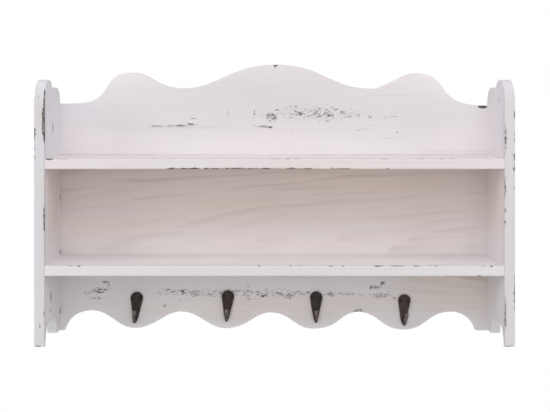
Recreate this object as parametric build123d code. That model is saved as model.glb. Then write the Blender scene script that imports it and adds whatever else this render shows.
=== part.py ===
from build123d import *
import math
import os

# Wall shelf with two boards, a scalloped back and a row of four forged coat hooks.
# Millimetres. X runs along the shelf, Y towards the wall, Z up. Pieces are drawn from the
# feet up, with the wall at Y = 0, and each is lowered by hanger_height when it is written,
# so the finished origin lies on the wall, midway between the hangers' entry holes.

# Overall
overall_width = 600.0
pattern_width = 600.0       # width that the points of the back's upper edge are given for
overall_depth = 130.0
side_height = 334.0         # feet to the top of a side's front lobe
edge_round = 1.0            # worn arris on the edges that hands reach
screw_clearance = 0.1       # round each screw, in the piece that it holds

# Boards
side_thickness = 13.0
shelf_thickness = 13.0
back_thickness = 12.0
lower_shelf_top = 101.5
upper_shelf_top = 235.0

# Side: upper edge, a tall lobe in front and a lower shoulder behind
lobe_front_radius = 31.0
lobe_rear_radius = 20.0
lobe_flat = 8.0
notch_height = 321.0
shoulder_height = 324.8
shoulder_radius = 26.0

# Side: lower edge, an arch between the front toe and the rear foot
toe_depth = 8.5
rear_foot_depth = 27.5
side_arch_height = 29.0

# Back: upper edge, sawn by eye. Each level point is given by its distance right of the
# middle and its height, and each run between two of them by how full it is at either end.
left_ledge = (-272.5, 303.5)
left_crest = (-190.5, 345.3)
left_valley = (-120.5, 324.2)
middle_crest = (2.6, 356.0)
right_valley = (133.5, 323.5)
right_crest = (188.5, 344.5)
right_ledge = (284.0, 301.0)
crest_fullness = ((0.80, 0.60), (0.40, 0.58), (0.37, 0.50), (0.50, 0.45), (0.26, 0.22), (0.59, 0.78))

# Back: lower edge, five arches with four hanging lobes between them, each by how far it
# strays sideways from even spacing and by its height, then the fullness of the runs
arches = ((-6.0, 25.0), (-6.0, 23.4), (-4.4, 22.0), (-6.4, 22.8), (-2.0, 23.2))
lobes = ((-6.4, 1.2), (-4.5, 0.8), (-7.4, 0.2), (-5.2, -1.0))
apron_fullness = (
    ((0.45, 0.41), (0.41, 0.31)),
    ((0.44, 0.39), (0.49, 0.36)),
    ((0.49, 0.44), (0.62, 0.42)),
    ((0.46, 0.51), (0.48, 0.48)),
)
left_end_radius = 37.5
right_end_radius = 36.0
back_foot_height = -2.0     # the back was set this much lower than the sides' feet

# Hook: a forged strap, spread at the top and turned up into a short prong
hook_length = 41.0
hook_head_radius = 8.4
hook_thickness = 2.6
neck_width = 9.2            # end of the flat strap
neck_straight = 2.4         # end of the strap to the start of the round turn
turn_width = 8.3            # start of the turn
bend_radius = 7.6
bend_width = 3.4            # bottom of the turn, where the bar is drawn to a point
bend_thickness = 3.8
prong_width = 5.4           # tip
prong_thickness = 2.8
prong_round = 0.9           # arris round the tip
prong_lean = 8.0            # degrees that the prong leans away from the board
prong_length = 9.8
hook_corner = 0.9
hook_screw_drop = 8.6
hook_screw_spread = 10.0
# each hook as it was bent and put on: sideways from its lobe, height of its top, tilt in
# degrees, and how far its prong leans sideways at the tip
hook_places = (
    (2.8, 50.2, 3.6, -0.9),
    (3.4, 52.3, 3.2, -0.2),
    (4.7, 50.9, 1.2, 0.2),
    (1.4, 47.1, 3.4, 2.6),
)

# Keyhole hangers, let in flush with the back
hanger_height = 268.0       # feet to the entry holes
hanger_spacing = 480.0
hanger_length = 40.0
hanger_width = 16.0
hanger_thickness = 1.5
entry_radius = 4.5
entry_drop = 4.5            # entry hole below the plate's middle
slot_width = 4.4
slot_rise = 10.5            # entry hole to the top of the slot
hanger_screw_reach = 15.0   # plate's middle to a screw
head_pocket_depth = 7.0
head_pocket_radius = 5.5
hanger_clearance = 0.2

# Screws: shank radius, head radius, length
board_screw = (1.75, 3.6, 32.0)
hook_screw = (1.1, 2.1, 11.0)
hanger_screw = (1.2, 2.4, 9.5)
shelf_screw_inset = 24.0    # front or back edge of a shelf to a screw
shelf_back_screws = 4
side_screw_heights = (26.0, 118.0, 208.0, 250.0, 286.0)

# Worked out from the sizes above
half_width = overall_width / 2
inner_half_width = half_width - side_thickness
front_y = -overall_depth
back_front_y = -back_thickness
side_depth = overall_depth - back_thickness
arch_pitch = overall_width / len(arches)
arch_places = [
    ((i - (len(arches) - 1) / 2) * arch_pitch + stray, height)
    for i, (stray, height) in enumerate(arches)
]
lobe_places = [
    ((i - (len(lobes) - 1) / 2) * arch_pitch + stray, height)
    for i, (stray, height) in enumerate(lobes)
]
side_middle = half_width - side_thickness / 2
shelf_middles = (lower_shelf_top - shelf_thickness / 2, upper_shelf_top - shelf_thickness / 2)
neck_drop = hook_length - bend_thickness / 2 - bend_radius - neck_straight


def swell(start, end, fullness):
    """Curve from one level point of a wavy edge to the next; fullness widens an end."""
    start_fullness, end_fullness = fullness
    run = end[0] - start[0]
    return Bezier(
        start,
        (start[0] + start_fullness * run, start[1]),
        (end[0] - end_fullness * run, end[1]),
        end,
    )


def wood_screw(size, clearance=0.0):
    """Countersunk screw along -Y, its head flush with Y = 0; with a clearance, its hole."""
    shank, head, length = size
    shank += clearance
    head += clearance
    length += clearance
    cone = head - shank
    tip = 1.5 * shank
    profile = Polyline(
        (0, 0), (head, 0), (shank, -cone), (shank, -length + tip), (0, -length), close=True
    )
    screw = revolve(make_face(profile), Axis.Y)
    if clearance:
        return screw
    recess = Box(head, 0.3 * head, 0.3 * head) + Box(0.3 * head, 0.3 * head, head)
    return screw - recess


def screw_at(place, head_out, size, clearance=0.0):
    """A screw with its head at a place and facing along head_out."""
    turn = {"+Y": Rot(0, 0, 0), "-Y": Rot(0, 0, 180), "+X": Rot(0, 0, -90), "-X": Rot(0, 0, 90)}
    return Pos(*place) * turn[head_out] * wood_screw(size, clearance)


def shelf_screw_places():
    """Where the screws through the sides enter, with the way that each head faces."""
    depths = (front_y + shelf_screw_inset, back_front_y - shelf_screw_inset)
    ends = ((-half_width, "-X"), (half_width, "+X"))
    return [((x, y, z), out) for x, out in ends for y in depths for z in shelf_middles]


def back_screw_places():
    """Where the screws through the back enter the sides and the shelves' rear edges."""
    into_sides = [(x, 0, z) for x in (-side_middle, side_middle) for z in side_screw_heights]
    step = overall_width / shelf_back_screws
    columns = [(i - (shelf_back_screws - 1) / 2) * step for i in range(shelf_back_screws)]
    into_shelves = [(x, 0, z) for x in columns for z in shelf_middles]
    return into_sides + into_shelves


def hook_location(index):
    """The top of a hook's flat back, on the front of the hook rail."""
    sideways, top, tilt, _ = hook_places[index]
    return Pos(lobe_places[index][0] + sideways, back_front_y, top) * Rot(0, tilt, 0)


def hook_screw_locations(index):
    """The two screws side by side in a hook's head, on the front of its strap."""
    spread = hook_screw_spread / 2
    return [
        hook_location(index) * Pos(x, -hook_thickness, -hook_screw_drop) * Rot(0, 0, 180)
        for x in (-spread, spread)
    ]


def hanger_locations():
    """The middle of each hanger's face, on the wall plane."""
    middle = hanger_height + entry_drop
    return [Pos(x, 0, middle) for x in (-hanger_spacing / 2, hanger_spacing / 2)]


def hanger_screw_locations():
    """The screws above and below each hanger's keyhole."""
    reach = hanger_screw_reach
    return [place * Pos(0, 0, z) for place in hanger_locations() for z in (-reach, reach)]


def side_outline():
    """A side seen from its end: distance from the front edge, height."""
    lobe_start = lobe_front_radius
    lobe_end = lobe_start + lobe_flat
    lobe_centre_height = side_height - lobe_rear_radius
    notch_drop = notch_height - lobe_centre_height
    notch = lobe_end + math.sqrt(lobe_rear_radius**2 - notch_drop**2)
    shoulder_end = side_depth - shoulder_radius
    shoulder_run = shoulder_end - notch
    foot_start = side_depth - rear_foot_depth
    arch_middle = (toe_depth + foot_start) / 2
    arch_reach = (foot_start - toe_depth) / 2
    front_arc = RadiusArc(
        (0, side_height - lobe_front_radius), (lobe_start, side_height), lobe_front_radius
    )
    rear_arc = RadiusArc((lobe_end, side_height), (notch, notch_height), lobe_rear_radius)
    shoulder = Bezier(
        (notch, notch_height),
        (notch + 0.12 * shoulder_run, shoulder_height),
        (notch + 0.41 * shoulder_run, shoulder_height),
        (shoulder_end, shoulder_height),
    )
    shoulder_arc = RadiusArc(
        (shoulder_end, shoulder_height),
        (side_depth, shoulder_height - shoulder_radius),
        shoulder_radius,
    )
    arch = EllipticalCenterArc(
        (arch_middle, 0), arch_reach, side_arch_height, start_angle=0, arc_size=180
    )
    straights = [
        Line((0, 0), (0, side_height - lobe_front_radius)),
        Line((lobe_start, side_height), (lobe_end, side_height)),
        Line((side_depth, shoulder_height - shoulder_radius), (side_depth, 0)),
        Line((side_depth, 0), (foot_start, 0)),
        Line((toe_depth, 0), (0, 0)),
    ]
    return make_face(Wire(straights + [front_arc, rear_arc, shoulder, shoulder_arc, arch]))


def side(outer_x):
    """A side board, its outer face at outer_x, drilled for the shelves and the back."""
    inner_x = outer_x - math.copysign(side_thickness, outer_x)
    plane = Plane(origin=(min(outer_x, inner_x), front_y, 0), x_dir=(0, 1, 0), z_dir=(1, 0, 0))
    board = extrude(plane * side_outline(), amount=side_thickness)
    arrises = board.edges().filter_by(GeomType.LINE, reverse=True) + board.edges().filter_by(
        lambda edge: edge.geom_type == GeomType.LINE
        and abs(edge.center().Y - front_y) < 0.01
        and abs(edge.tangent_at(0.5).Z) > 0.99
    )
    arrises = arrises.filter_by(lambda edge: abs(edge.tangent_at(0.5).X) < 0.5)
    board = fillet(arrises, edge_round)
    for place, out in shelf_screw_places():
        if abs(place[0] - outer_x) < 0.01:
            board -= screw_at(place, out, board_screw, screw_clearance)
    for place in back_screw_places():
        if abs(place[0] - outer_x) < side_thickness:
            board -= screw_at(place, "+Y", board_screw, screw_clearance)
    return board


def shelf(top):
    """A shelf between the sides and against the back, its front arrises rounded."""
    board = Pos(0, (front_y + back_front_y) / 2, top - shelf_thickness / 2) * Box(
        2 * inner_half_width, side_depth, shelf_thickness
    )
    front_arrises = board.edges().filter_by(Axis.X).group_by(Axis.Y)[0]
    board = fillet(front_arrises, edge_round)
    for place, out in shelf_screw_places():
        board -= screw_at(place, out, board_screw, screw_clearance)
    for place in back_screw_places():
        board -= screw_at(place, "+Y", board_screw, screw_clearance)
    return board


def crest_edge():
    """The back's upper edge, from its left end to its right end."""
    points = [
        (x * overall_width / pattern_width, height)
        for x, height in (
            left_ledge,
            left_crest,
            left_valley,
            middle_crest,
            right_valley,
            right_crest,
            right_ledge,
        )
    ]
    waves = [swell(points[i], points[i + 1], crest_fullness[i]) for i in range(len(points) - 1)]
    left_end = Line((-half_width, left_ledge[1]), points[0])
    right_end = Line(points[-1], (half_width, right_ledge[1]))
    return [left_end] + waves + [right_end]


def end_arch_reach(arch_height, radius):
    """How far sideways an end arch runs from its top down to the back's foot."""
    drop = arch_height - back_foot_height
    return math.sqrt(radius**2 - (radius - drop) ** 2)


def apron_edge():
    """The back's lower edge, from its left end to its right end."""
    left_arch = arch_places[0]
    right_arch = arch_places[-1]
    left_foot = (left_arch[0] - end_arch_reach(left_arch[1], left_end_radius), back_foot_height)
    right_foot = (
        right_arch[0] + end_arch_reach(right_arch[1], right_end_radius),
        back_foot_height,
    )
    waves = []
    for i, (falling, rising) in enumerate(apron_fullness):
        waves.append(swell(arch_places[i], lobe_places[i], falling))
        waves.append(swell(lobe_places[i], arch_places[i + 1], rising))
    return (
        [
            Line((-half_width, back_foot_height), left_foot),
            RadiusArc(left_foot, left_arch, left_end_radius),
        ]
        + waves
        + [
            RadiusArc(right_arch, right_foot, right_end_radius),
            Line(right_foot, (half_width, back_foot_height)),
        ]
    )


def back_panel():
    """The whole back, before it is parted into its two boards."""
    ends = [
        Line((half_width, back_foot_height), (half_width, right_ledge[1])),
        Line((-half_width, back_foot_height), (-half_width, left_ledge[1])),
    ]
    outline = make_face(Wire(crest_edge() + apron_edge() + ends))
    panel = extrude(Plane.XZ * outline, amount=back_thickness)
    front_arrises = (
        panel.edges()
        .filter_by(lambda edge: edge.center().Y < back_front_y + 0.01)
        .filter_by(lambda edge: abs(edge.tangent_at(0.5).Z) < 0.99)
    )
    return fillet(front_arrises, edge_round)


def back_board(panel, lowest, highest):
    """One board of the back, drilled and recessed for what it holds."""
    middle = (lowest + highest) / 2
    board = panel & Pos(0, -back_thickness / 2, middle) * Box(
        overall_width, back_thickness, highest - lowest
    )
    for place in back_screw_places():
        if lowest < place[2] < highest:
            board -= screw_at(place, "+Y", board_screw, screw_clearance)
    if lowest < hanger_height < highest:
        for place in hanger_locations():
            board -= place * hanger_recess()
        for place in hanger_screw_locations():
            board -= place * wood_screw(hanger_screw, screw_clearance)
    if lowest < hook_places[0][1] < highest:
        for index in range(len(hook_places)):
            for place in hook_screw_locations(index):
                board -= place * wood_screw(hook_screw, screw_clearance)
    return board


def hanger_recess():
    """The plate's shallow bed, with a deeper pocket for the head of a wall screw."""
    bed = SlotOverall(
        hanger_length + 2 * hanger_clearance, hanger_width + 2 * hanger_clearance, rotation=90
    )
    pocket = Pos(0, slot_rise / 2 - entry_drop) * SlotCenterToCenter(
        slot_rise, 2 * head_pocket_radius, rotation=90
    )
    bed_cut = extrude(Plane.XZ * bed, amount=hanger_thickness)
    return bed_cut + extrude(Plane.XZ * pocket, amount=head_pocket_depth)


def hanger():
    """A stamped steel plate with a keyhole and a countersunk hole above and below it."""
    plate = extrude(Plane.XZ * SlotOverall(hanger_length, hanger_width, rotation=90), hanger_thickness)
    entry = Pos(0, -entry_drop) * Circle(entry_radius)
    slot = Pos(0, slot_rise / 2 - entry_drop) * SlotCenterToCenter(
        slot_rise, slot_width, rotation=90
    )
    plate -= extrude(Plane.XZ * (entry + slot), amount=hanger_thickness)
    for z in (-hanger_screw_reach, hanger_screw_reach):
        plate -= Pos(0, 0, z) * wood_screw(hanger_screw, screw_clearance)
    return plate


def hook_strap():
    """The flat, spread part of a hook: a round head with straight sides down to the neck."""
    neck = neck_width / 2
    below_head = neck_drop - hook_head_radius
    touching = math.degrees(
        math.acos(hook_head_radius / math.hypot(neck, below_head)) - math.atan2(below_head, neck)
    )
    head = CenterArc((0, -hook_head_radius), hook_head_radius, touching, 180 - 2 * touching)
    left_corner = (-neck, -neck_drop)
    right_corner = (neck, -neck_drop)
    sides = [
        Line(head @ 1, left_corner),
        Line(left_corner, right_corner),
        Line(right_corner, head @ 0),
    ]
    strap = extrude(Plane.XZ * make_face(Wire([head] + sides)), amount=hook_thickness)
    front_edges = (
        strap.edges()
        .filter_by(lambda edge: edge.center().Y < -hook_thickness + 0.01)
        .filter_by(lambda edge: edge.center().Z > -neck_drop + 0.01)
    )
    return fillet(front_edges, hook_corner)


def drawn_out(down, up):
    """Width and thickness of a hook's bar, by the share of its way down to the bottom of the
    turn, where it is narrowest, and the share of its way up from there to the prong's tip."""
    width = turn_width + (bend_width - turn_width) * down + (prong_width - bend_width) * up
    thickness = (
        hook_thickness
        + (bend_thickness - hook_thickness) * down**2
        + (prong_thickness - bend_thickness) * up
    )
    return width, thickness


def hook_prong(sway):
    """The bend, lofted along a round turn from the strap's end, and the straight prong."""
    start = Vector(0, -hook_thickness / 2, -neck_drop)
    centre = Vector(0, start.Y - bend_radius, -hook_length + bend_thickness / 2 + bend_radius)
    neck_end = section_at(start, 0, neck_width, hook_thickness)
    sections = []
    turns = 12
    sweep_angle = 180 - prong_lean
    turn_rise = bend_radius * math.radians(sweep_angle) / 2
    turn_share = turn_rise / (turn_rise + prong_length)
    for i in range(turns + 1):
        share = i / turns
        angle = sweep_angle * share
        place = centre + Vector(
            sway * share**2 / 2,
            bend_radius * math.cos(math.radians(angle)),
            -bend_radius * math.sin(math.radians(angle)),
        )
        up = max(share * 2 - 1, 0) * turn_share
        sections.append(section_at(place, angle, *drawn_out(min(share * 2, 1), up)))
    lean = math.radians(prong_lean)
    way = Vector(sway / 2 / prong_length, -math.sin(lean), math.cos(lean))
    tip = section_at(place + way * prong_length, sweep_angle, prong_width, prong_thickness)
    prong = loft([sections[-1], tip], ruled=True)
    prong = fillet(prong.faces().sort_by(Axis.Z)[-1].edges(), prong_round)
    return loft([neck_end, sections[0]], ruled=True) + loft(sections) + prong


def section_at(place, angle, width, thickness):
    """A rounded bar section square to a path that has turned by an angle from straight down."""
    turn = math.radians(angle)
    along = (0, -math.sin(turn), -math.cos(turn))
    plane = Plane(origin=place, x_dir=(1, 0, 0), z_dir=along)
    return plane * RectangleRounded(width, thickness, 0.4 * thickness)


def hook(index):
    """One hook where it was put on, its two screw holes countersunk."""
    shape = hook_location(index) * (hook_strap() + hook_prong(hook_places[index][3]))
    for place in hook_screw_locations(index):
        shape -= place * wood_screw(hook_screw, screw_clearance)
    return shape


def shelf_screws():
    """The screws through the sides into the ends of the shelves."""
    return [screw_at(place, out, board_screw) for place, out in shelf_screw_places()]


def back_screws():
    """The screws through the back into the sides and the shelves."""
    return [screw_at(place, "+Y", board_screw) for place in back_screw_places()]


def hook_screws():
    """Two screws for each hook."""
    places = [place for i in range(len(hook_places)) for place in hook_screw_locations(i)]
    return [place * wood_screw(hook_screw) for place in places]


def hanger_screws():
    """Two screws for each hanger."""
    return [place * wood_screw(hanger_screw) for place in hanger_screw_locations()]


def write(name, pieces):
    """Lower the pieces to the origin on the wall and write them as one sub-part."""
    lowered = [Pos(0, 0, -hanger_height) * piece for piece in pieces]
    shape = lowered[0] if len(lowered) == 1 else Compound(children=lowered)
    shape.label = name
    export_step(shape, f"parts/{name}.step")


os.makedirs("parts", exist_ok=True)

panel = back_panel()
write("side_left", [side(-half_width)])
write("side_right", [side(half_width)])
write("shelf_lower", [shelf(lower_shelf_top)])
write("shelf_upper", [shelf(upper_shelf_top)])
write("back_board_lower", [back_board(panel, back_foot_height, upper_shelf_top)])
write("back_board_upper", [back_board(panel, upper_shelf_top, middle_crest[1])])
for number in range(len(hook_places)):
    write(f"hook_{number + 1}", [hook(number)])
hangers = [place * hanger() for place in hanger_locations()]
write("hanger_left", [hangers[0]])
write("hanger_right", [hangers[1]])
write("shelf_screws", shelf_screws())
write("back_screws", back_screws())
write("hook_screws", hook_screws())
write("hanger_screws", hanger_screws())
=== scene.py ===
import math

import bpy
import numpy as np
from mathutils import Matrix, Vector, kdtree


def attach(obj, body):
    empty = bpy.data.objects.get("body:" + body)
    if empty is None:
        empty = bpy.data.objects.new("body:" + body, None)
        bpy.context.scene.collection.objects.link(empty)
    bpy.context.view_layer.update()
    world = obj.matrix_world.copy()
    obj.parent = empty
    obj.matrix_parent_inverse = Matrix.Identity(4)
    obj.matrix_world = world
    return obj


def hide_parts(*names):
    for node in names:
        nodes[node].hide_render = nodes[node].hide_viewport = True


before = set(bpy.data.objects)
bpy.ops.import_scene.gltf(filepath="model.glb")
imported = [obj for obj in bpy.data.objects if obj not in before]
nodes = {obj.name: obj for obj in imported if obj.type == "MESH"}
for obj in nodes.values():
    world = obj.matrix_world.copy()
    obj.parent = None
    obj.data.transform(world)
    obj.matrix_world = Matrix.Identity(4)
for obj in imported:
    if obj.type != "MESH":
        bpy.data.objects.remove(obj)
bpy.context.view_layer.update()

# --- The two sides ---------------------------------------------------------------------------
# Each side is one pine board, grain upright, sawn to two lobes above and a toe and a foot below.
# Its arrises are eased, then it is brushed with thin limewash and rubbed through here and there.
# The boards are sized in millimetres below, and the frame is in metres.
MM = 0.001
INNER, OUTER = 287.0, 300.0         # from the middle of the shelf to the two faces of a side
FRONT, FACE = -130.0, -12.0         # the front edges, and the face of the back behind the sides
TOE, LOBE = -268.0, 66.0            # the lowest and the highest place of a side
ARRIS_REACH = 4.0                   # how near an arris the boards are worn and finely divided
FINE = 1.9                          # edges longer than this are cut in two there
HALVINGS = 3                        # in so many rounds
WALL_GAP = 2.0                      # arrises this close to the wall aren't worn


def choose(piece):
    """Selects one piece alone and makes it the active one."""
    bpy.ops.object.select_all(action="DESELECT")
    piece.select_set(True)
    bpy.context.view_layer.objects.active = piece


def loose_copy(node, name):
    """A separate copy of a CAD node with its loose triangles merged."""
    piece = bpy.data.objects.new(name, nodes[node].data.copy())
    bpy.context.scene.collection.objects.link(piece)
    choose(piece)
    bpy.ops.mesh.customdata_custom_splitnormals_clear()
    bpy.ops.object.mode_set(mode="EDIT")
    bpy.ops.mesh.select_all(action="SELECT")
    bpy.ops.mesh.remove_doubles(threshold=1e-6)
    bpy.ops.object.mode_set(mode="OBJECT")
    return piece


def corners(piece):
    """The piece's vertices in millimetres."""
    flat = np.empty(len(piece.data.vertices) * 3)
    piece.data.vertices.foreach_get("co", flat)
    return flat.reshape(-1, 3) / MM


def cut_up(piece, cuts):
    """Cuts the board right through, so that wear has corners to move and colours to hold. Each
    cut is an axis, a lowest and a highest place along it and the step between planes."""
    bpy.ops.object.mode_set(mode="EDIT")
    for axis, low, high, step in cuts:
        across = Vector(axis == i for i in range(3))
        for place in np.arange(low + step / 2, high, step):
            bpy.ops.mesh.select_all(action="SELECT")
            bpy.ops.mesh.bisect(plane_co=across * place * MM, plane_no=across)
    bpy.ops.object.mode_set(mode="OBJECT")


def arris_tree(piece):
    """The corners along the eased arrises, where the board's faces turn sharply."""
    choose(piece)
    bpy.ops.object.mode_set(mode="EDIT")
    bpy.ops.mesh.select_mode(type="EDGE")
    bpy.ops.mesh.select_all(action="DESELECT")
    bpy.ops.mesh.edges_select_sharp(sharpness=math.radians(18))
    bpy.ops.object.mode_set(mode="OBJECT")
    sharp = [v for v in piece.data.vertices if v.select]
    tree = kdtree.KDTree(len(sharp))
    for i, v in enumerate(sharp):
        tree.insert(v.co / MM, i)
    tree.balance()
    return tree


def divide_arrises(piece, tree):
    """Cuts the long edges near the arrises in two until chips can be shaped there."""
    for _ in range(HALVINGS):
        places = corners(piece)
        near = np.array([tree.find(p)[2] < ARRIS_REACH for p in places])
        ends = np.empty(len(piece.data.edges) * 2, int)
        piece.data.edges.foreach_get("vertices", ends)
        a, b = ends.reshape(-1, 2).T
        long = np.linalg.norm(places[a] - places[b], axis=1) > FINE
        bpy.ops.object.mode_set(mode="EDIT")
        bpy.ops.mesh.select_all(action="DESELECT")
        bpy.ops.object.mode_set(mode="OBJECT")
        piece.data.edges.foreach_set("select", near[a] & near[b] & long)
        bpy.ops.object.mode_set(mode="EDIT")
        bpy.ops.mesh.subdivide(number_cuts=1)
        bpy.ops.object.mode_set(mode="OBJECT")


def patches(places, spots):
    """How strongly soft round patches, each a centre, half sizes and a strength, cover places."""
    cover = np.zeros(len(places))
    for centre, half, strength in spots:
        away = (((places - centre) / half) ** 2).sum(1)
        cover = np.maximum(cover, strength * np.clip(1 - away, 0, 1))
    return cover


def note(piece, name, amounts):
    """Keeps a number for each corner, for the material and the modifiers to read."""
    piece.data.attributes.new(name, "FLOAT", "POINT").data.foreach_set("value", amounts)


def press_in(piece, name, amounts, depth, grain):
    """Sinks the surface by up to depth where amounts are high, in dents about a grain wide."""
    group = piece.vertex_groups.new(name=name)
    for i in np.nonzero(amounts > 0.01)[0]:
        group.add([int(i)], float(min(amounts[i], 1.0)), "REPLACE")
    clouds = bpy.data.textures.new(name, "CLOUDS")
    clouds.noise_scale = grain * MM
    modifier = piece.modifiers.new(name, "DISPLACE")
    modifier.texture = clouds
    modifier.texture_coords = "LOCAL"
    modifier.vertex_group = name
    modifier.strength = depth * MM
    modifier.mid_level = 1.0
    choose(piece)
    bpy.ops.object.modifier_apply(modifier=name)


def board(node, name, cuts, rubs, thins, shades):
    """A board with worn arrises that stands for its CAD node. Rubs and thins are patches where
    its paint is rubbed through and where it lies thin, and the last patches are painted shade on
    it."""
    piece = loose_copy(node, name)
    bpy.ops.object.mode_set(mode="EDIT")
    bpy.ops.mesh.dissolve_limited(angle_limit=math.radians(0.2))
    bpy.ops.object.mode_set(mode="OBJECT")
    cut_up(piece, cuts)
    tree = arris_tree(piece)
    divide_arrises(piece, tree)
    places = corners(piece)
    arris = np.array([max(0.0, 1 - tree.find(p)[2] / ARRIS_REACH) for p in places])
    arris[places[:, 1] > -WALL_GAP] = 0
    rubbed = patches(places, rubs)
    note(piece, "arris", arris)
    note(piece, "rubbed", rubbed)
    note(piece, "thin", np.minimum(patches(places, thins), 1.0))
    # painted shade patches, for the material to grey the paint with
    note(piece, "painted_shade", patches(places, shades))
    press_in(piece, "hand_sanded", arris, depth=0.35, grain=22)
    press_in(piece, "chipped", arris * rubbed, depth=1.8, grain=5)
    bpy.ops.object.shade_smooth_by_angle(angle=math.radians(38))
    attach(piece, "root")
    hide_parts(node)
    return piece


def finish_with(piece, material):
    """Takes the frame's plain material off a piece and gives it this one."""
    piece.data.materials.clear()
    piece.data.materials.append(material)


class Socket:
    """A shader node's output. An expression of sockets and numbers adds its own Math nodes."""

    def __init__(self, tree, plug=None):
        self.tree, self.plug = tree, plug

    def node(self, kind, settings=None, sockets=None, output=0):
        """Any node: its settings are made first, then its sockets get their values or links."""
        made = self.tree.nodes.new("ShaderNode" + kind)
        for name, setting in (settings or {}).items():
            setattr(made, name, setting)
        for name, value in (sockets or {}).items():
            if isinstance(value, Socket):
                self.tree.links.new(value.plug, made.inputs[name])
            else:
                made.inputs[name].default_value = value
        return Socket(self.tree, made.outputs[output]) if len(made.outputs) else None

    def output(self, name):
        """Another output of the same node."""
        return Socket(self.tree, self.plug.node.outputs[name])

    def math(self, operation, a, b):
        """A Math node on two sockets or numbers."""
        return self.node("Math", {"operation": operation}, {0: a, 1: b})

    def __add__(self, other):
        return self.math("ADD", self, other)

    def __radd__(self, other):
        return self.math("ADD", other, self)

    def __sub__(self, other):
        return self.math("SUBTRACT", self, other)

    def __rsub__(self, other):
        return self.math("SUBTRACT", other, self)

    def __mul__(self, other):
        return self.math("MULTIPLY", self, other)

    def __rmul__(self, other):
        return self.math("MULTIPLY", other, self)

    def __truediv__(self, other):
        return self.math("DIVIDE", self, other)

    def __pow__(self, other):
        return self.math("POWER", self, other)

    def rise(self, low, high):
        """0 below low and 1 above high, with a soft rise between."""
        return self.node(
            "MapRange", {"interpolation_type": "SMOOTHSTEP"},
            {"Value": self, "From Min": low, "From Max": high},
        )

    def blend(self, colour, other):
        """The first colour where this is 0 and the other where it is 1."""
        return self.node("Mix", {"data_type": "RGBA"}, {0: self, 6: colour, 7: other}, output=2)


def new_material(name):
    """An empty material and a socket to start its nodes from."""
    made = bpy.data.materials.new(name)
    made.use_nodes = True
    made.node_tree.nodes.clear()
    return made, Socket(made.node_tree)


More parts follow.
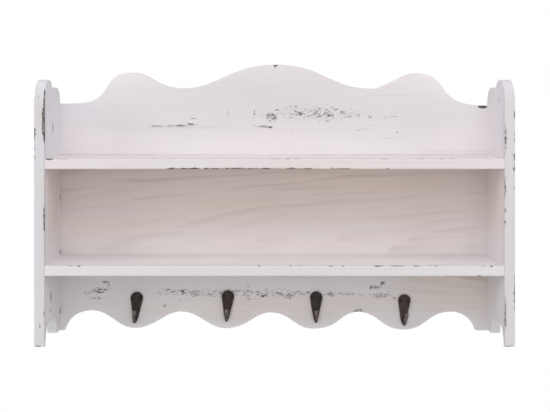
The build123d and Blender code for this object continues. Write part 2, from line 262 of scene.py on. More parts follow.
def whitewashed_pine(name, axes, heart, lean, shift, whites, raised):
    """Pine under chalky limewash. axes are the board's length, width and thickness, heart is
    where the tree's middle lies across and through it, and lean is how that drifts along it.
    shift gives each board its own stretch of the pattern, whites are the limewash's two tones,
    and raised is how far the grain stands out."""
    made, bench = new_material(name)
    spot = bench.node("TexCoord", output="Object")
    place = spot.node("VectorMath", {"operation": "SCALE"}, {0: spot, "Scale": 1 / MM})
    split = place.node("SeparateXYZ", {}, {0: place})
    along, across, through = (split.output(axis) for axis in axes)
    wood = bench.node("CombineXYZ", {}, {0: along + shift, 1: across, 2: through})

    def noise(length, width, detail=2.0):
        """Cloudy noise in patches about that many mm long with the grain and wide across it."""
        sized = wood.node(
            "VectorMath", {"operation": "DIVIDE"}, {0: wood, 1: (length, width, width)}
        )
        return wood.node("TexNoise", {}, {"Vector": sized, "Scale": 1.0, "Detail": detail})

    # Growth rings: tubes about the heart, wavering along the board, each with a darker late edge
    ring_width = 8.5
    waver = (noise(360, 50) - 0.5) * 40 + (noise(90, 12) - 0.5) * 7
    off_across = across - heart[0] - along * lean[0] + waver
    off_through = through - heart[1] - along * lean[1]
    ring = (off_across * off_across + off_through * off_through) ** 0.5 / ring_width
    turn = ring.node("Math", {"operation": "FRACT"}, {0: ring})
    number = ring.node("Math", {"operation": "FLOOR"}, {0: ring})
    strength = number.node("TexWhiteNoise", {"noise_dimensions": "1D"}, {"W": number})
    broken = noise(160, 12).rise(0.35, 0.60)
    late = turn.rise(0.30, 0.90) * (1 - turn.rise(0.92, 1.0))
    late = late * (strength ** 2 * 0.9 + 0.1) * broken
    fibre = noise(28, 0.7, 3.0)
    pores = noise(14, 0.9, 2.0).rise(0.66, 0.74)

    # The limewash: a brushed, faintly uneven white, and where it lies thin the pine shows
    # through. Dirt sits in its pores and brush lines. Painted shade greys the front strip of the
    # sides and shelves and the patches that each board lists as shade.
    pale_wood, late_wood = (0.775, 0.665, 0.580, 1), (0.560, 0.465, 0.400, 1)
    # the second grey is painted shade
    dirt, shade_grey = (0.42, 0.37, 0.35, 1), (0.30, 0.262, 0.262, 1)
    thin = bench.node("Attribute", {"attribute_name": "thin"}, output="Fac")
    drift = noise(170, 70, 3.0)
    broad = noise(420, 15, 2.0)
    brushed = noise(70, 2.6, 3.0)
    white = drift.rise(0.35, 0.65).blend(*whites)
    bare = late.blend(pale_wood, late_wood)
    veil = thin * (0.60 + (broad - 0.5) * 0.9) + 0.03 + (brushed - 0.5) * 0.14 + late * 0.11
    coat = (veil + (fibre - 0.5) * 0.08).blend(white, bare)
    drawn = noise(240, 1.8, 2.0).rise(0.58, 0.72) * noise(120, 30).rise(0.42, 0.62)
    coat = (pores * 0.10 + drawn * 0.22).blend(coat, dirt)
    # painted shade: the front 16 mm of the sides and shelves is greyed
    shaded_front = (0 - split.output("Y")).rise(-FRONT - 16, -FRONT)
    # painted shade in the patches each board lists
    painted_shade = bench.node("Attribute", {"attribute_name": "painted_shade"}, output="Fac")
    coat = (shaded_front * 0.24 + painted_shade * 0.22).blend(coat, shade_grey)

    # Rubbed-through marks: fine strokes with the grain, cross ticks and crazing where the paint
    # cracked, and on the arrises whole stretches of grey-brown wood with a dark broken rim
    smudge_grey, dark_rim = (0.34, 0.30, 0.31, 1), (0.046, 0.038, 0.038, 1)
    old_wood, old_fibre = (0.225, 0.172, 0.168, 1), (0.320, 0.252, 0.248, 1)
    rubbed = bench.node("Attribute", {"attribute_name": "rubbed"}, output="Fac")
    arris = bench.node("Attribute", {"attribute_name": "arris"}, output="Fac")
    strokes = noise(5.0, 1.05, 2.0)
    ticks = noise(1.0, 2.6, 2.0)
    ragged = strokes.node("Math", {"operation": "MAXIMUM"}, {0: strokes, 1: ticks - 0.05})
    depth = ragged + rubbed * 0.38 + arris * 0.04 - 0.765
    open_wood = depth.rise(0.0, 0.035) * rubbed.rise(0.0, 0.08)
    smudge = depth.rise(-0.06, 0.02) * rubbed.rise(0.0, 0.15)
    coat = (smudge * 0.28).blend(coat, smudge_grey)
    cell = wood.node("VectorMath", {"operation": "DIVIDE"}, {0: wood, 1: (5.0, 3.0, 3.0)})
    crack = wood.node(
        "TexVoronoi", {"feature": "DISTANCE_TO_EDGE"}, {"Vector": cell, "Scale": 1.0}
    )
    crazed = (1 - crack.rise(0.02, 0.07)) * rubbed.rise(0.2, 0.6) * noise(7, 5).rise(0.48, 0.54)
    mark = open_wood.node("Math", {"operation": "MAXIMUM"}, {0: open_wood, 1: crazed * 0.7})
    grey_wood = fibre.rise(0.35, 0.65).blend(old_wood, old_fibre)
    deep = (depth + noise(9, 1.6) * 0.5).rise(0.56, 0.68)
    worn = deep.blend(dark_rim, grey_wood)
    colour = mark.blend(coat, worn)

    roughness = 0.74 + (brushed - 0.5) * 0.25 - thin * 0.08 - mark * 0.10
    height = fibre * 0.35 + late * 0.35 + brushed * 0.5 - mark * 1.4 - pores * 0.5
    relief = bench.node("Bump", {}, {"Height": height, "Strength": raised, "Distance": 0.16 * MM})
    surface = bench.node(
        "BsdfPrincipled", {}, {"Base Color": colour, "Roughness": roughness, "Normal": relief}
    )
    bench.node("OutputMaterial", {}, {"Surface": surface})
    return made


upright = "ZYX"                     # a side's length runs up and its width from front to back
side_cuts = (
    (0, -OUTER, -INNER, 2.0), (0, INNER, OUTER, 2.0), (1, FRONT, FACE, 3.6), (2, TOE, LOBE, 5.0),
)
left_rubs = [
    ((-INNER, FRONT, 6), (4.0, 6, 15), 2.3),        # the long worn stretch on the inner arris
    ((-INNER, FRONT, 19), (3.3, 3, 18), 1.9),
    ((-INNER, FRONT, 39), (1.7, 3, 20), 1.25),
    ((-287.5, -126.5, 50), (1.4, 5, 7), 1.3),
    ((-287.3, FRONT, -9), (1.5, 3, 6), 1.25),
    ((-287.4, FRONT, -105), (1.2, 3, 20), 1.0),
    ((-287.2, FRONT, -118), (1.5, 3, 8), 1.15),
    ((-287.6, FRONT, -227), (1.8, 3, 5), 0.85),
    ((-OUTER, FRONT, 2), (3.8, 5, 8), 1.14),        # nicks down the outer arris
    ((-OUTER, FRONT, -7), (3.3, 4, 5), 1.08),
    ((-OUTER, FRONT, -19), (2.5, 6, 5), 1.00),
    ((-OUTER, FRONT, -30), (2.0, 4, 5), 0.88),
    ((-295.4, FRONT, 44.8), (1.6, 3, 5.0), 1.1),
    ((-293.7, FRONT, -242), (1.5, 3, 5.5), 1.15),
    ((-295, FRONT, TOE), (7, 5, 2.2), 1.3),         # under the toe
    ((-INNER, -70, 5), (3, 9, 12), 0.76),           # scrapes on the inner face
    ((-INNER, -85, -212), (3, 9, 11), 0.86),
    ((-INNER, -86, -229), (3, 7, 5), 0.8),
    ((-INNER, -14, -91.5), (3, 6, 4.5), 1.8),       # rubbed corners beside the back
    ((-INNER, -14, -164), (3, 6, 4.5), 1.8),
    ((-INNER, -14, -243), (3, 6, 4.5), 1.8),
    ((-OUTER, -70, -40), (4, 26, 9), 0.50),         # crazed places on the outer face
    ((-OUTER, -58, -150), (4, 9, 30), 0.52),
    ((-OUTER, -95, 20), (4, 8, 16), 0.45),
    ((-OUTER, -12, -60), (3, 4, 28), 0.9),
]
right_rubs = [
    ((288.3, FRONT, -10), (2.8, 3, 26), 0.76),      # specks down the inner arris
    ((288.2, FRONT, -12), (2.2, 3, 15), 0.79),
    ((287.8, FRONT, -68), (2.0, 3, 22), 0.78),
    ((287.8, FRONT, -98), (2.0, 3, 5), 0.9),
    ((287.8, FRONT, -112), (2.0, 3, 5), 0.9),
    ((288.2, FRONT, -221), (2.2, 3, 34), 0.76),
    ((288.2, FRONT, -236), (2.4, 3, 14), 0.90),
    ((290.7, FRONT, -213), (1.4, 3, 5), 0.8),
    ((295.5, FRONT, -111), (1.3, 3, 4), 0.85),
    ((OUTER, FRONT, 21), (2.2, 4, 10), 0.97),       # and down the outer one
    ((OUTER, FRONT, -3), (2.0, 6, 6), 0.88),
    ((OUTER, FRONT, -11.5), (1.9, 3, 3), 0.92),
    ((OUTER, FRONT, -31), (3.1, 5, 7.5), 1.14),
    ((OUTER, FRONT, -46), (3.1, 7, 5.6), 1.17),
    ((OUTER, FRONT, -69), (1.9, 4, 5), 0.83),
    ((OUTER, FRONT, -181), (1.9, 3, 5), 0.88),
    ((OUTER, FRONT, -191), (2.1, 5, 5), 0.92),
    ((OUTER, FRONT, -200.5), (3.2, 7, 3.8), 1.17),
    ((OUTER, FRONT, -210.5), (2.9, 4, 6.2), 1.04),
    ((OUTER, FRONT, -222), (2.1, 5, 3.8), 0.92),
    ((OUTER, FRONT, -200), (1.5, 2.6, 36), 0.74),   # fine specks between the nicks
    ((OUTER, FRONT, -38), (1.5, 2.6, 22), 0.74),
    ((293, FRONT, TOE), (7, 5, 2.2), 1.0),          # under the toe
    ((INNER, -95, 42), (3, 8, 10), 0.50),           # crazed places on both faces
    ((INNER, -73, -9), (3, 5, 6), 0.45),
    ((OUTER, -66, -90), (4, 10, 26), 0.50),
    ((OUTER, -88, -215), (4, 14, 8), 0.52),
    ((OUTER, -40, 12), (4, 8, 18), 0.48),
    ((OUTER, -12, -170), (3, 4, 30), 0.9),
]
left_thins = [
    ((-INNER, -60, -64), (9, 110, 34), 1.1),        # thinly brushed under the upper shelf
    ((-INNER, -60, -105), (9, 110, 68), 0.85),
    ((-INNER, -60, -220), (6, 110, 60), 0.30),      # and under the lower one
    ((-293, -128, 24), (9, 8, 26), 0.55),           # and beside the long worn stretch
]
right_thins = [((INNER, -60, -85), (9, 100, 68), 1.0), ((INNER, -60, -220), (6, 110, 60), 0.40)]
# Painted shade on the sides: the rear feet's arch walls, the left inner face and the left front
left_shades = [
    ((-293.5, -39.5, -262), (9, 4, 27), 1.0),       # painted shade on the arch's wall of the rear foot
    ((-INNER, -70, -108), (9, 60, 58), 0.5),
    ((-294, FRONT, 24), (9, 6, 26), 0.35),
]
right_shades = [((293.5, -39.5, -262), (9, 4, 27), 1.0)]
left_side = board(
    "side_left", "side_left_board", side_cuts, left_rubs, left_thins, left_shades
)
right_side = board(
    "side_right", "side_right_board", side_cuts, right_rubs, right_thins, right_shades
)
left_whites = ((0.740, 0.738, 0.788, 1), (0.765, 0.750, 0.785, 1))
right_whites = ((0.755, 0.735, 0.780, 1), (0.780, 0.744, 0.775, 1))
for piece, heart, whites in (
    (left_side, (40, -330), left_whites),
    (right_side, (-190, 336), right_whites),
):
    finish = whitewashed_pine(
        f"{piece.name}_finish", upright, heart, (0.03, 0.02),
        shift=heart[0], whites=whites, raised=0.30,
    )
    finish_with(piece, finish)

# --- The two shelves -------------------------------------------------------------------------
# Plain pine boards between the sides, grain running the length, butted to the back and screwed
# through the sides. Limewash lies thick on top and thin below, and the front arrises are nicked.
lengthwise = "XYZ"                  # a shelf's length runs along the wall, its width out from it
TOP, BOTTOM = -33.0, -46.0          # of the upper shelf
LOWER_TOP, LOWER_BOTTOM = -166.5, -179.5
shelf_cuts = (
    (0, -INNER, INNER, 5.0), (1, FRONT, FACE, 6.0),
    (2, BOTTOM, TOP, 2.0), (2, LOWER_BOTTOM, LOWER_TOP, 2.0),
)
upper_rubs = [
    ((-281, FRONT, TOP), (6.4, 4, 1.9), 1.9),       # the black line at the left end
    ((12, FRONT, TOP), (40, 3, 1.2), 0.55),
    ((180, FRONT, TOP), (100, 3, 1.1), 0.45),
    ((-266, FRONT, TOP), (12, 3, 1.4), 0.75),
    ((-151, FRONT, TOP), (2.2, 3, 1.6), 1.0),
    ((-65.7, FRONT, TOP), (2.0, 3, 1.4), 1.0),
    ((-46.8, FRONT, TOP), (1.6, 3, 1.4), 0.9),
    ((48.5, FRONT, TOP), (2.6, 3, 1.4), 1.0),
    ((-128, FRONT, BOTTOM), (10, 5, 2.4), 1.00),    # chips along the lower arris
    ((-114, FRONT, BOTTOM), (10, 5, 2.1), 0.95),
    ((-100, FRONT, BOTTOM), (10, 6, 3.2), 1.08),
    ((-84, FRONT, BOTTOM), (10, 5, 2.2), 0.95),
    ((-72, FRONT, BOTTOM), (10, 5, 2.0), 0.95),
    ((-46, FRONT, BOTTOM), (20, 5, 2.0), 1.20),
    ((-11, FRONT, BOTTOM), (8, 6, 2.9), 1.10),
    ((3, FRONT, BOTTOM), (8, 5, 2.0), 0.95),
    ((20, FRONT, BOTTOM), (11, 6, 2.7), 1.07),
    ((40, FRONT, BOTTOM), (15, 4, 1.9), 0.90),
    ((84, FRONT, BOTTOM), (26, 4, 1.7), 0.92),
    ((142, FRONT, BOTTOM), (4, 4, 2.0), 1.00),
    ((-38, FRONT, BOTTOM), (112, 4, 1.5), 0.98),    # and the thin broken line they sit in
]
lower_rubs = [
    ((-273, FRONT, LOWER_TOP), (6, 3, 1.6), 0.75),  # specks at the left end
    ((-256, FRONT, LOWER_TOP), (5, 3, 1.6), 0.95),
    ((-245, FRONT, LOWER_TOP), (1.8, 3, 2.2), 1.1),
    ((-19, FRONT, LOWER_TOP), (2.2, 3, 1.3), 1.1),  # dashes along the upper arris
    ((20, FRONT, LOWER_TOP), (2.0, 3, 1.3), 1.0),
    ((30, FRONT, LOWER_TOP), (4.6, 3, 1.3), 1.0),
    ((54, FRONT, LOWER_TOP), (2.2, 3, 1.3), 1.0),
    ((69.6, FRONT, LOWER_TOP), (3.6, 3, 1.4), 1.1),
    ((85, FRONT, LOWER_TOP), (2.8, 3, 1.4), 1.1),
    ((94, FRONT, LOWER_TOP), (2.6, 3, 1.4), 1.1),
    ((117.6, FRONT, LOWER_TOP), (2.0, 3, 1.3), 1.0),
    ((129.6, FRONT, LOWER_TOP), (11, 3, 1.3), 1.12),
    ((152, FRONT, LOWER_TOP), (12, 3, 1.3), 1.12),
    ((177, FRONT, LOWER_TOP), (7.5, 3, 1.3), 1.0),
    ((198, FRONT, LOWER_TOP), (6, 3, 1.3), 0.9),
    ((262, FRONT, LOWER_TOP - 0.6), (2.6, 3, 1.8), 1.0),
    ((271, FRONT, LOWER_TOP - 0.8), (2.2, 3, 1.8), 0.9),
    ((82, FRONT, -171), (9, 3, 3), 0.38),           # a faint scuff on the front
    ((-261.5, FRONT, -173), (1.4, 3, 7), 0.58),
    ((14.3, FRONT, LOWER_BOTTOM), (1.8, 4, 2.0), 1.2),
    ((217, FRONT, LOWER_BOTTOM), (3, 4, 1.6), 0.9),
    ((256, FRONT, LOWER_BOTTOM), (1.8, 4, 1.4), 0.9),
    ((269, FRONT, LOWER_BOTTOM), (2.0, 4, 2.0), 1.1),
]
upper_thins = [((0, -60, -49), (420, 120, 8), 1.5)]
lower_thins = [((0, -60, -182), (420, 120, 8), 0.7)]
# painted shade along the front of each shelf
upper_shades = [((0, FRONT, -39.5), (320, 4, 12), 0.20)]
lower_shades = [((0, FRONT, -173), (320, 4, 12), 0.35)]
upper_shelf = board(
    "shelf_upper", "shelf_upper_board", shelf_cuts, upper_rubs, upper_thins, upper_shades
)
lower_shelf = board(
    "shelf_lower", "shelf_lower_board", shelf_cuts, lower_rubs, lower_thins, lower_shades
)
# The shelves' whites are lighter than the other boards': painted light on the shelf tops
upper_lit_whites = ((0.866, 0.812, 0.826, 1), (0.878, 0.808, 0.820, 1))
lower_lit_whites = ((0.850, 0.832, 0.862, 1), (0.864, 0.830, 0.856, 1))
for piece, heart, whites in (
    (upper_shelf, (60, 150), upper_lit_whites),
    (lower_shelf, (-190, -330), lower_lit_whites),
):
    finish = whitewashed_pine(
        f"{piece.name}_finish", lengthwise, heart, (0.02, 0.01),
        shift=heart[1], whites=whites, raised=0.55,
    )
    finish_with(piece, finish)

# --- The back --------------------------------------------------------------------------------
# Two wide pine boards meet level with the upper shelf. The upper one is sawn to the crest, the
# lower one to the apron that carries the hooks. Both are planted on the rear edges of the sides.
levelled = "XZY"                    # a back board's length runs along the wall, its width up it
CREST, APRON = 88.0, -270.0         # the highest and the lowest place of the back
crest_cuts = (
    (0, -OUTER, OUTER, 4.0), (1, FACE, 0, 3.0),
    (2, -16, 44, 1.4), (2, 44, CREST, 4.0),         # closest where the marks are
)
apron_cuts = (
    (0, -OUTER, OUTER, 4.0), (1, FACE, 0, 3.0),
    (2, APRON, -240, 4.0), (2, -240, -198, 1.4), (2, -198, TOP, 6.0),
)
crest_rubs = [
    ((2.8, FACE, 87.5), (3.6, 4, 2.4), 1.7),        # the black nick on the middle of the crest
    ((281, FACE, 31), (8.0, 4, 2.6), 1.8),          # and the chip at its right end
    ((2.0, FACE, 76.7), (2.0, 3, 1.5), 0.62),
    ((-158, FACE, 5.3), (14, 3, 1.7), 0.66),        # streaks left of the middle
    ((-142, FACE, 5.6), (8, 3, 1.7), 0.74),
    ((-126, FACE, 5.9), (20, 3, 2.8), 0.72),
    ((-112, FACE, 7.6), (12, 3, 2.8), 0.73),
    ((-108, FACE, 14.5), (9, 3, 1.8), 0.72),
    ((-159.5, FACE, 13.8), (2.0, 3, 1.8), 0.8),
    ((-84.5, FACE, 18.5), (2.4, 3, 5.5), 0.60),
    ((-63, FACE, 20), (2.6, 3, 9), 0.60),
    ((-245, FACE, -10.4), (2.4, 3, 1.8), 0.55),
    ((55, FACE, 22), (95, 3, 13), 0.45),            # the crazed band across the middle
    ((-26, FACE, 22), (1.9, 3, 7.0), 0.70),
    ((-16, FACE, 4.6), (20, 3, 1.7), 0.76),
    ((-7, FACE, 3.6), (12, 3, 1.9), 0.90),
    ((-2.3, FACE, 18), (14, 3, 10), 0.63),
    ((-1, FACE, 20.5), (11, 3, 2.4), 0.68),
    ((6, FACE, 26.7), (7, 3, 1.6), 0.70),
    ((18, FACE, 25), (7, 3, 3.8), 0.60),
    ((22, FACE, 32), (3, 3, 1.6), 0.72),
    ((31, FACE, 30.5), (4.2, 3, 4.2), 0.66),
    ((35.5, FACE, 21.5), (7, 3, 3.6), 0.74),
    ((25, FACE, 0.7), (2.6, 3, 1.6), 0.70),
    ((26.6, FACE, 42), (2.2, 3, 3.2), 0.50),
    ((52, FACE, 26), (10, 3, 5), 0.42),
    ((61, FACE, 28), (2.0, 3, 4.2), 0.62),
    ((61.7, FACE, 19.3), (3, 3, 1.8), 0.72),
    ((69.4, FACE, 27.2), (2.6, 3, 1.6), 0.70),
    ((74.8, FACE, 19.8), (6.4, 3, 4), 0.74),
    ((72.8, FACE, 12.3), (5, 3, 2.8), 0.56),
    ((69, FACE, 0), (1.8, 3, 1.4), 0.7),
    ((81, FACE, 28), (2.4, 3, 1.4), 0.66),
    ((91, FACE, 22.5), (7, 3, 5.8), 0.64),
    ((103, FACE, 18), (3.6, 3, 3.4), 0.74),
    ((113, FACE, 19.7), (3, 3, 3), 0.66),
    ((129.4, FACE, 17.6), (2.4, 3, 2.2), 0.60),
    ((151, FACE, 16.4), (3, 3, 1.5), 0.70),
    ((155, FACE, 18), (36, 3, 1.7), 0.47),
    ((131, FACE, 5.4), (13, 3, 1.6), 0.50),
    ((118, FACE, 0.5), (30, 3, 1.6), 0.46),
    ((138, FACE, -0.6), (2.6, 3, 1.3), 0.66),
    ((165, FACE, -3.3), (2.8, 3, 1.4), 0.72),
    ((160, FACE, -10.3), (20, 3, 1.5), 0.46),
    ((233, FACE, 13.4), (2.2, 3, 1.4), 0.62),
    ((-60, 0, 40), (40, 3, 9), 0.5),                # the same wear on the wall side
    ((190, 0, 8), (26, 3, 7), 0.5),
]
crest_thins = [
    ((0, 3, 20), (520, 9, 200), 1.2),               # all over the wall side
    ((0, FACE, 75), (420, 6, 60), 0.22),            # towards the top
    ((150, FACE, -28.5), (80, 6, 4), 0.7),          # brushed out just over the shelf
    ((-95, FACE, -22), (80, 6, 3.5), 0.5),
]
apron_rubs = [
    ((-40, FACE, -219), (215, 3, 8), 0.47),         # sparse marks along the hooks
    ((-226, FACE, -204.5), (8.5, 3, 2.6), 0.76),    # left of the first hook
    ((-221, FACE, -209), (3.0, 3, 6), 0.66),
    ((-250, FACE, -218.8), (7, 3, 3.6), 0.68),
    ((-236, FACE, -216), (14, 3, 7), 0.68),
    ((-222, FACE, -215), (8, 3, 3.4), 0.71),
    ((-239, FACE, -226.4), (14, 3, 2.4), 0.60),
    ((-203, FACE, -215.8), (9, 3, 1.8), 0.48),
    ((-143.6, FACE, -215.5), (7, 3, 2.8), 0.70),    # between the first and second
    ((-124, FACE, -216.6), (15, 3, 4.0), 0.62),
    ((-108, FACE, -221.5), (8, 3, 5.5), 0.58),
    ((-119, FACE, -228.2), (13, 3, 2.0), 0.58),
    ((-147, FACE, -236.6), (4.8, 3, 3.8), 0.62),
    ((-102, FACE, -221.6), (4, 3, 2), 0.68),
    ((-88.4, FACE, -218), (2.4, 3, 4.4), 0.62),
    ((-46, FACE, -217.5), (9, 3, 5.0), 0.62),       # between the second and third
    ((-35.3, FACE, -210.8), (2.8, 3, 4.6), 0.68),
    ((-29, FACE, -218), (8, 3, 3.6), 0.66),
    ((-12.8, FACE, -223.6), (7.5, 3, 3.4), 0.79),
    ((8, FACE, -220.8), (8.5, 3, 3.2), 0.78),
    ((20, FACE, -223), (8, 3, 6.6), 0.62),
    ((31, FACE, -219.4), (6, 3, 3.2), 0.70),
    ((43, FACE, -221), (9, 3, 2.0), 0.62),
    ((-29, FACE, -227), (22, 3, 1.8), 0.52),
    ((76.5, FACE, -221.4), (11, 3, 4.8), 0.64),     # between the third and fourth
    ((100, FACE, -221), (20, 3, 3.0), 0.56),
    ((129.5, FACE, -211.5), (3.0, 3, 5.0), 0.74),
    ((138, FACE, -211.6), (10, 3, 4.0), 0.72),
    ((146, FACE, -206.5), (6.5, 3, 5.0), 0.72),
    ((156, FACE, -213), (3.0, 3, 5.0), 0.64),
    ((117, FACE, -222.2), (15, 3, 2.2), 0.54),
    ((143, FACE, -222.8), (18, 3, 5.4), 0.68),
    ((155.4, FACE, -219), (2.8, 3, 3.6), 0.66),
    ((163, FACE, -227), (4.0, 3, 2.6), 0.80),
    ((113.8, FACE, -245), (8.5, 5, 2.1), 1.3),      # a nick in the fourth arch
    ((-150, 0, -100), (30, 3, 10), 0.5),            # and rubbed places on the wall side
    ((90, 0, -210), (34, 3, 8), 0.5),
]
apron_thins = [
    ((0, FACE, -66), (430, 6, 62), 1.40),           # under the upper shelf
    ((0, FACE, -66), (580, 6, 140), 1.0),
    ((255, FACE, -212), (110, 6, 48), 1.0),         # and at the right end of the apron
    ((0, FACE, -238), (330, 6, 24), 0.42),
    ((0, 3, -150), (520, 9, 320), 1.2),             # all over the wall side
]
crest_shades = [((0, FACE, 30), (260, 6, 90), 1.0)]      # painted shade over the middle of the crest
apron_shades = [
    ((0, FACE, -125), (190, 6, 60), 0.62),          # painted shade on the back of the niche, and low on the apron below
    ((40, FACE, -245), (150, 6, 30), 0.40),
]
crest = board(
    "back_board_upper", "crest_board", crest_cuts, crest_rubs, crest_thins, crest_shades
)
apron = board(
    "back_board_lower", "apron_board", apron_cuts, apron_rubs, apron_thins, apron_shades
)
back_whites = ((0.760, 0.738, 0.770, 1), (0.772, 0.735, 0.761, 1))
for piece, heart, lean in (
    (crest, (250, 90), (0.015, 0.02)),
    (apron, (-168, 60), (0.01, -0.085)),
):
    finish = whitewashed_pine(
        f"{piece.name}_finish", levelled, heart, lean,
        shift=heart[0], whites=back_whites, raised=0.55,
    )
    finish_with(piece, finish)

# --- The four hooks --------------------------------------------------------------------------
# Each is forged from one bar: a round flat head with two holes, a neck that tapers as it comes
# out and down, and a pointed prong turned up in front. Oiled black, and bright on the prong's
# front, partly where coats rub and partly as painted highlight.
SCREW_DROP = 8.6                    # from the top of a head down to its two screws
SCREW_SPREAD = 5.0                  # and from its middle out to each of them
SCREW_SHADE_RING = (3.2, 4, 3.2)         # half sizes of the painted shade round a screw
PRONG_FRONT = -28.0                 # only the prong stands out further than this
TIP_HIGHLIGHT = (5, 5, 7)               # half sizes of the painted highlight at its tip
RUSTINESS = (0.0, 0.15, 0.0, 1.1)   # of the four hooks from left to right


def forged_iron():
    """Blackened iron, brown where it is rusty, bright on the prong's front partly where coats rub
    it and partly as painted highlight, with a painted highlight at its tip and painted shade
    round the screws, as each hook's own attributes say."""
    made, bench = new_material("forged_iron")
    coal, scale_grey = (0.015, 0.009, 0.008, 1), (0.039, 0.025, 0.023, 1)
    rust_brown, shade_black = (0.062, 0.040, 0.038, 1), (0.004, 0.003, 0.003, 1)
    rubbed_and_highlit_iron = (0.210, 0.174, 0.164, 1)
    place = bench.node("TexCoord", output="Object")
    split = place.node("SeparateXYZ", {}, {0: place})
    scale_marks = place.node("TexNoise", {}, {"Vector": place, "Scale": 420.0, "Detail": 4.0})
    patches_of_rust = place.node("TexNoise", {}, {"Vector": place, "Scale": 160.0, "Detail": 3.0})
    front = (0 - split.output("Y")).rise(0.0235, 0.0300)    # metres out from the wall
    tip_highlight = bench.node("Attribute", {"attribute_name": "tip_highlight"}, output="Fac")
    rusty = bench.node("Attribute", {"attribute_name": "rusty"}, output="Fac")
    # bright iron on the prong's front: partly rubbed by coats, partly painted highlight
    bright = front * (scale_marks.rise(0.35, 0.65) * 0.55 + 0.12 + tip_highlight * 0.45)
    black = scale_marks.rise(0.35, 0.65).blend(coal, scale_grey)
    rust = patches_of_rust.rise(0.50, 0.66) * 0.5 + rusty * 0.6
    brown = rust.blend(black, rust_brown)
    # painted shade round the screws, as dark patches on the iron
    screw_shade = bench.node("Attribute", {"attribute_name": "screw_shade"}, output="Fac")
    screw_shaded = screw_shade.rise(0.0, 0.7).blend(brown, shade_black)
    colour = bright.blend(screw_shaded, rubbed_and_highlit_iron)
    height = scale_marks + patches_of_rust * 0.6
    relief = bench.node("Bump", {}, {"Height": height, "Strength": 0.5, "Distance": 0.25 * MM})
    surface = bench.node(
        "BsdfPrincipled", {},
        {
            "Base Color": colour,
            "Metallic": 0.45 + bright * 0.35,
            "Roughness": 0.60 - bright * 0.15 + (scale_marks - 0.5) * 0.2,
            "Normal": relief,
        },
    )
    bench.node("OutputMaterial", {}, {"Surface": surface})
    return made


iron = forged_iron()
hammer = bpy.data.textures.new("hammer_marks", "CLOUDS")
hammer.noise_scale = 3.4 * MM
for i, rust in enumerate(RUSTINESS, start=1):
    hook = loose_copy(f"hook_{i}", f"hook_{i}_forged")
    skin = hook.modifiers.new("skin", "REMESH")
    skin.mode = "VOXEL"
    skin.voxel_size = 0.32 * MM
    bpy.ops.object.modifier_apply(modifier="skin")
    dents = hook.modifiers.new("dents", "DISPLACE")
    dents.texture = hammer
    dents.texture_coords = "LOCAL"
    dents.strength = 0.6 * MM
    dents.mid_level = 0.55
    bpy.ops.object.modifier_apply(modifier="dents")
    rounded = hook.modifiers.new("rounded", "SMOOTH")
    rounded.factor = 0.5
    rounded.iterations = 3
    bpy.ops.object.modifier_apply(modifier="rounded")
    bpy.ops.object.shade_smooth()
    places = corners(hook)
    prong = places[places[:, 1] < PRONG_FRONT]
    tip = prong[prong[:, 2].argmax()]
    # painted highlight at the tip of the prong
    note(hook, "tip_highlight", patches(places, [(tip, TIP_HIGHLIGHT, 1.0)]))
    head = places[places[:, 2].argmax()] - (0, 0, SCREW_DROP)
    left_screw, right_screw = head - (SCREW_SPREAD, 0, 0), head + (SCREW_SPREAD, 0, 0)
    # painted shade round each screw, darker at the right one
    screw_shade_rings = [(left_screw, SCREW_SHADE_RING, 0.6), (right_screw, SCREW_SHADE_RING, 1.0)]
    note(hook, "screw_shade", patches(places, screw_shade_rings))
    note(hook, "rusty", np.full(len(places), rust))
    finish_with(hook, iron)
    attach(hook, "root")
    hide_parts(f"hook_{i}")

# --- The screws of the hooks -----------------------------------------------------------------
# Two small countersunk screws side by side hold each hook's head to the apron. They are black
# steel with a cross recess, sunk flush with the iron, and their black is deepened as painted
# shade in the holes.


def blackened_steel():
    """Oiled black steel with grime in its finish, darkened further as painted shade in the holes.
    """
    made, bench = new_material("blackened_steel")
    oil_black_and_shade, grime_black = (0.006, 0.005, 0.005, 1), (0.022, 0.018, 0.018, 1)
    place = bench.node("TexCoord", output="Object")
    grime = place.node("TexNoise", {}, {"Vector": place, "Scale": 700.0, "Detail": 3.0})
    colour = grime.rise(0.4, 0.7).blend(oil_black_and_shade, grime_black)
    relief = bench.node("Bump", {}, {"Height": grime, "Strength": 0.4, "Distance": 0.1 * MM})
    surface = bench.node(
        "BsdfPrincipled", {},
        {"Base Color": colour, "Metallic": 0.3, "Roughness": grime * 0.3 + 0.5, "Normal": relief},
    )
    bench.node("OutputMaterial", {}, {"Surface": surface})
    return made


nodes["hook_screws"].material_slots[0].material = blackened_steel()

# --- Hangers and the hidden screws -----------------------------------------------------------
# Two zinc-plated keyhole plates are screwed to the wall side of the back. The screws through the
# sides into the shelves, and through the back into sides and shelves, are zinc-plated as well.


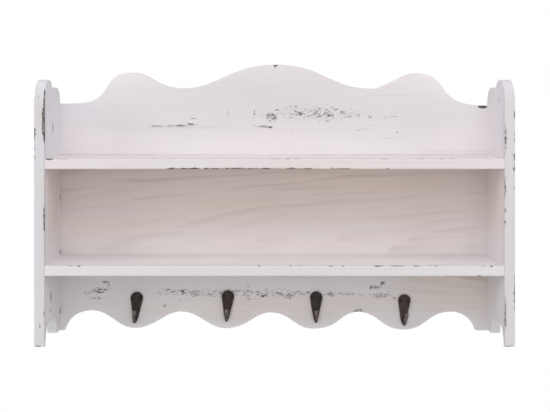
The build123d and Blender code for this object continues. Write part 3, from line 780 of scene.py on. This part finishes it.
def zinc_plate():
    """Zinc plating with spangles, dull clouds and fine scuffs."""
    made, bench = new_material("zinc_plate")
    dark_spangle, light_spangle = (0.46, 0.47, 0.48, 1), (0.60, 0.61, 0.62, 1)
    dull_zinc = (0.34, 0.34, 0.33, 1)
    place = bench.node("TexCoord", output="Object")
    spangle = place.node("TexVoronoi", {}, {"Vector": place, "Scale": 450.0}, output="Color")
    grey = spangle.node("SeparateXYZ", {}, {0: spangle})
    cloud = place.node("TexNoise", {}, {"Vector": place, "Scale": 240.0, "Detail": 4.0})
    scuffs = place.node("VectorMath", {"operation": "MULTIPLY"}, {0: place, 1: (2600, 900, 160)})
    scuff = scuffs.node("TexNoise", {}, {"Vector": scuffs, "Scale": 1.0, "Detail": 2.0})
    bright = grey.blend(dark_spangle, light_spangle)
    colour = (cloud.rise(0.55, 0.75) * 0.5).blend(bright, dull_zinc)
    relief = bench.node("Bump", {}, {"Height": scuff, "Strength": 0.3, "Distance": 0.08 * MM})
    surface = bench.node(
        "BsdfPrincipled", {},
        {
            "Base Color": colour,
            "Metallic": 0.95 - cloud.rise(0.6, 0.8) * 0.25,
            "Roughness": 0.30 + cloud * 0.2 + scuff * 0.1,
            "Normal": relief,
        },
    )
    bench.node("OutputMaterial", {}, {"Surface": surface})
    return made


zinc = zinc_plate()
for name in ("hanger_left", "hanger_right", "hanger_screws", "shelf_screws", "back_screws"):
    nodes[name].material_slots[0].material = zinc

# --- The studio ------------------------------------------------------------------------------
# The shelf hangs at its usual height over a plain pale floor, with large soft lights in front and
# above and a low even sky. The floor fades to white away from the shelf, and the sky looks white.
FLOOR_HEIGHT = -1.35                # in metres, as all that follows
FADE_START, FADE_END = 0.8, 3.0     # how far out from under the shelf the floor turns white
SKY_LIGHT = 0.37                    # the share of a full white sky that falls on the shelf

bpy.ops.object.select_all(action="DESELECT")
bpy.ops.mesh.primitive_grid_add(
    x_subdivisions=8, y_subdivisions=8, size=14, location=(0, 0, FLOOR_HEIGHT)
)
floor = bpy.context.object
floor.name = "floor"
bpy.ops.object.transform_apply(location=True)
pale, bench = new_material("pale_floor")
spot = bench.node("TexCoord", output="Object")
reach = spot.node("VectorMath", {"operation": "DISTANCE"}, {0: spot, 1: (0, 0, FLOOR_HEIGHT)}, 1)
far = reach.rise(FADE_START, FADE_END)
rays = bench.node("LightPath")
seen = rays.output("Is Camera Ray") + rays.output("Is Glossy Ray")
plain = bench.node("BsdfDiffuse", {}, {"Color": (0.80, 0.80, 0.79, 1)})
glow = bench.node("Emission", {}, {"Color": (1, 1, 1, 1), "Strength": 1.0})
fading = bench.node("MixShader", {}, {0: far * seen.rise(0.0, 0.5), 1: plain, 2: glow})
bench.node("OutputMaterial", {}, {"Surface": fading})
floor.data.materials.append(pale)

sky = bpy.data.worlds.new("studio")
bpy.context.scene.world = sky
sky.use_nodes = True
sky.node_tree.nodes.clear()
bench = Socket(sky.node_tree)
rays = bench.node("LightPath")
direct = (
    rays.output("Is Camera Ray") + rays.output("Is Glossy Ray")
    + rays.output("Is Transmission Ray")
)
dim = bench.node("Background", {}, {"Color": (1, 1, 1, 1), "Strength": SKY_LIGHT})
white = bench.node("Background", {}, {"Color": (1, 1, 1, 1), "Strength": 1.0})
both = bench.node("MixShader", {}, {0: direct.rise(0.0, 0.5), 1: dim, 2: white})
bench.node("OutputWorld", {}, {"Surface": both})


def softbox(name, place, size, watts):
    """A rectangular light aimed at the middle of the shelf."""
    lamp = bpy.data.lights.new(name, "AREA")
    lamp.shape = "RECTANGLE"
    lamp.size, lamp.size_y = size
    lamp.energy = watts
    holder = bpy.data.objects.new(name, lamp)
    bpy.context.scene.collection.objects.link(holder)
    holder.location = place
    holder.rotation_euler = (-Vector(place)).to_track_quat("-Z", "Y").to_euler()


softbox("top_front_light", (0, -1.7, 1.7), (2.4, 1.6), 18.5)
softbox("front_light", (0, -3.2, 0.5), (2.6, 2.0), 18.5)
softbox("left_light", (-2.4, -1.6, 0.7), (1.6, 1.8), 28.0)
softbox("right_light", (2.4, -1.6, 0.7), (1.6, 1.8), 22.0)

# A level camera in front, a little left of the middle and above the upper shelf
lens = bpy.data.cameras.new("camera")
lens.lens = 78.1
lens.sensor_width = 36
lens.shift_x = 0.0218
lens.shift_y = -0.1922
camera = bpy.data.objects.new("camera", lens)
bpy.context.scene.collection.objects.link(camera)
camera.location = (-0.0144, -1.618, 0.0399)
camera.rotation_euler = (math.radians(90), 0, 0)
bpy.context.scene.camera = camera
bpy.context.scene.view_settings.view_transform = "Standard"
